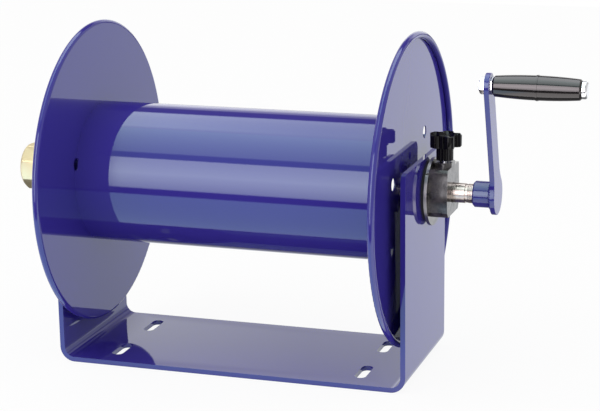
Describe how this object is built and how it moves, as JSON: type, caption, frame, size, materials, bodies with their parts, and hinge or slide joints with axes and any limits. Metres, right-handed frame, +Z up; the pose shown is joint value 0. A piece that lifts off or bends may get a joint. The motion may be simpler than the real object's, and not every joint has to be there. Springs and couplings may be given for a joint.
{
  "type": "hose reel",
  "caption": "Hand-crank hose reel with a bolt-down plate frame, rolled-edge steel discs, a brass swivel inlet and a screw brake.",
  "frame": {"origin": "centre of the flat underside of the base plate, midway between its four slots", "axes": "+X along the reel's axis from the inlet towards the crank, +Y to the back, +Z up"},
  "size_m": [0.5815, 0.3048, 0.3302],
  "materials": {
    "blue_paint": "gloss",
    "bare_steel": "machined",
    "brass": "polished",
    "cast_iron": "rough cast",
    "bronze": "satin",
    "zinc_steel": "bright zinc plate",
    "spring_steel": "satin",
    "black_steel": "black oxide",
    "seal_rubber": "matte",
    "knob_plastic": "satin",
    "grip_plastic": "gloss"
  },
  "bodies": {
    "frame": {"base_frame": "blue_paint", "brake_housing": "cast_iron", "inlet_housing": "cast_iron", "shaft_bushing": "bronze", "inlet_bushing": "bronze", "brake_housing_bolts": "black_steel", "inlet_housing_bolts": "black_steel"},
    "drum": {"left_disc": "blue_paint", "right_disc": "blue_paint", "drum_shell": "blue_paint", "left_disc_hub": "blue_paint", "right_disc_hub": "blue_paint", "inlet_axle": "bare_steel", "crank_shaft": "bare_steel", "outlet_riser": "bare_steel", "outlet_fitting": "brass", "shaft_washer": "zinc_steel", "inlet_washer": "zinc_steel", "inlet_stem": "brass", "inlet_seals": "seal_rubber", "inlet_retaining_ring": "spring_steel", "crank_hub": "blue_paint", "crank_set_screw": "black_steel", "crank_arm": "blue_paint", "grip_bolt": "zinc_steel", "grip_spacer": "zinc_steel", "grip_nut": "zinc_steel"},
    "grip": {"grip": "grip_plastic"},
    "inlet_swivel": {"inlet_body": "brass"},
    "brake_pad": {"brake_pad": "bronze"},
    "brake_knob": {"brake_screw": "zinc_steel", "brake_knob": "knob_plastic"}
  },
  "joints": [
    {"name": "drum_spin", "type": "hinge", "parent": "frame", "child": "drum", "pos_m": [0, 0.008, 0.1778], "axis": [1, 0, 0], "continuous": true},
    {"name": "grip_spin", "type": "hinge", "parent": "drum", "child": "grip", "pos_m": [0.2896, -0.0295, 0.28989], "axis": [1, 0, 0], "continuous": true},
    {"name": "inlet_swivel_spin", "type": "hinge", "parent": "frame", "child": "inlet_swivel", "pos_m": [-0.2275, 0.008, 0.1778], "axis": [1, 0, 0], "continuous": true},
    {"name": "brake_travel", "type": "slide", "parent": "frame", "child": "brake_pad", "axis": [0, 0, 1], "range_m": [-0.0002, 0.004]},
    {"name": "brake_turn", "type": "hinge", "parent": "brake_pad", "child": "brake_knob", "pos_m": [0.1946, 0.008, 0.22], "axis": [0, 0, 1], "range_deg": [-50, 962]}
  ],
  "couplings": [
    {"joint": "brake_turn", "follows": "brake_travel", "rad_per_m": 4188.8}
  ]
}
